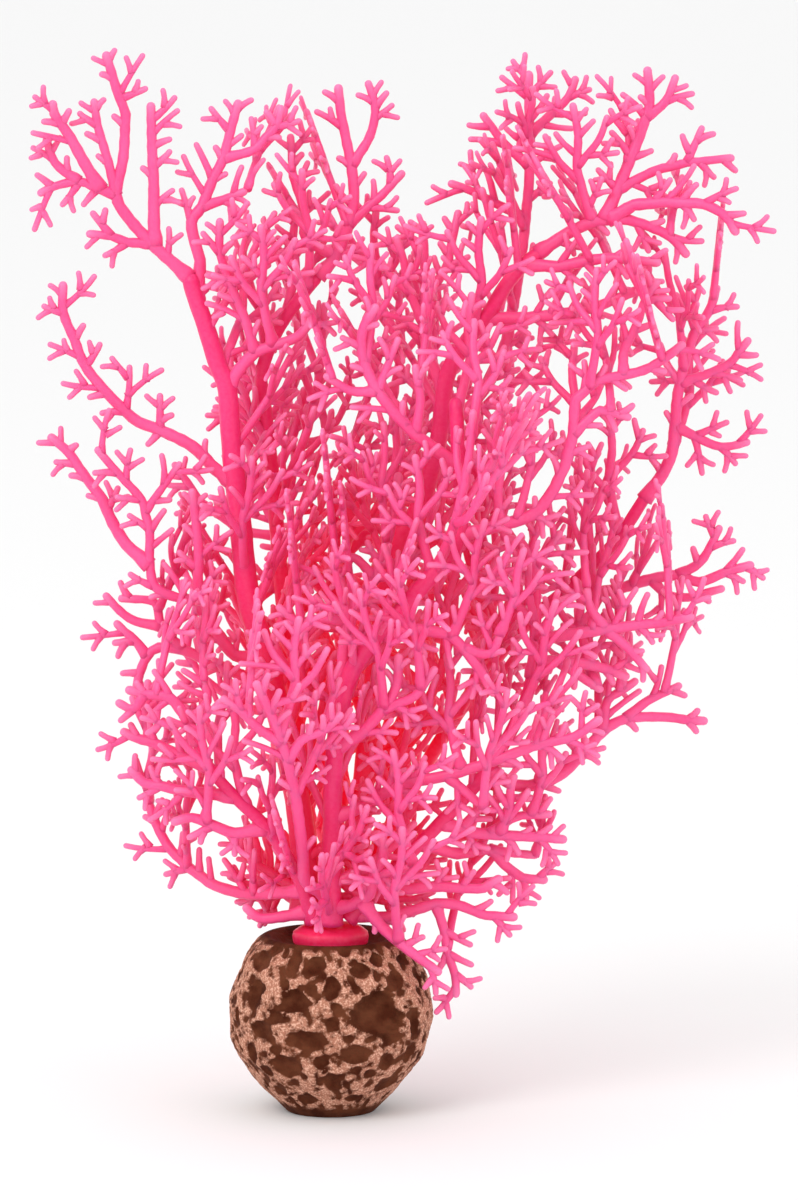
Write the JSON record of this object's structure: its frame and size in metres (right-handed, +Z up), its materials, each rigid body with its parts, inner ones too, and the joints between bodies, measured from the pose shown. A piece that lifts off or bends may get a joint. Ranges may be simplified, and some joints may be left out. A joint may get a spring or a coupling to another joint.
{
  "type": "sea fan ornament",
  "caption": "Branching pink plastic sea fan, plugged into the crater of a pitted brown stone ball with a flat foot; a fish tank ornament.",
  "frame": {"origin": "middle of the ball's flat foot, on the surface that it stands on", "axes": "+Z up along the fan's height, +X to the right in the picture, -Y towards the camera"},
  "size_m": [0.1385, 0.0747, 0.2021],
  "materials": {
    "ball": "rough, pitted, dark with paler ridges",
    "fan": "soft satin"
  },
  "bodies": {
    "root": {"stone_ball": "ball", "arched_spray": "fan", "back_fan_right": "fan", "back_stem": "fan", "centre_top_fan": "fan", "droop_over_ball": "fan", "front_arm": "fan", "front_cross_branch": "fan", "front_left_fan": "fan", "front_low_sprig": "fan", "front_middle_spray": "fan", "front_right_branch": "fan", "front_stem": "fan", "front_upper_fan": "fan", "front_vertical_branch": "fan", "inner_fan_low": "fan", "left_crown_high": "fan", "left_crown_middle": "fan", "left_crown_outer": "fan", "left_crown_right": "fan", "left_cup_edge": "fan", "left_cup_low": "fan", "left_cup_middle": "fan", "left_cup_upper": "fan", "left_fan_low": "fan", "left_fan_tall": "fan", "left_fork_spray": "fan", "left_low_spray": "fan", "left_low_stem": "fan", "left_spike": "fan", "left_spray_upper": "fan", "left_stem": "fan", "low_right_arm": "fan", "low_right_far": "fan", "low_right_mid": "fan", "low_right_side": "fan", "low_right_stem": "fan", "middle_fan": "fan", "rear_fan_high_left": "fan", "rear_fan_high_right": "fan", "rear_fan_left": "fan", "rear_fan_right": "fan", "rear_stem": "fan", "right_back_fan": "fan", "right_back_stem": "fan", "right_crown": "fan", "right_crown_low": "fan", "right_crown_top": "fan", "right_edge_spray": "fan", "right_leaf": "fan", "right_low_edge": "fan", "right_mid_spray": "fan", "right_shelf": "fan", "right_shelf_low": "fan", "right_stem": "fan", "rim_sprig": "fan", "root_plug": "fan", "studded_top": "fan", "tall_branch": "fan", "upper_right_fan": "fan"}
  },
  "joints": []
}
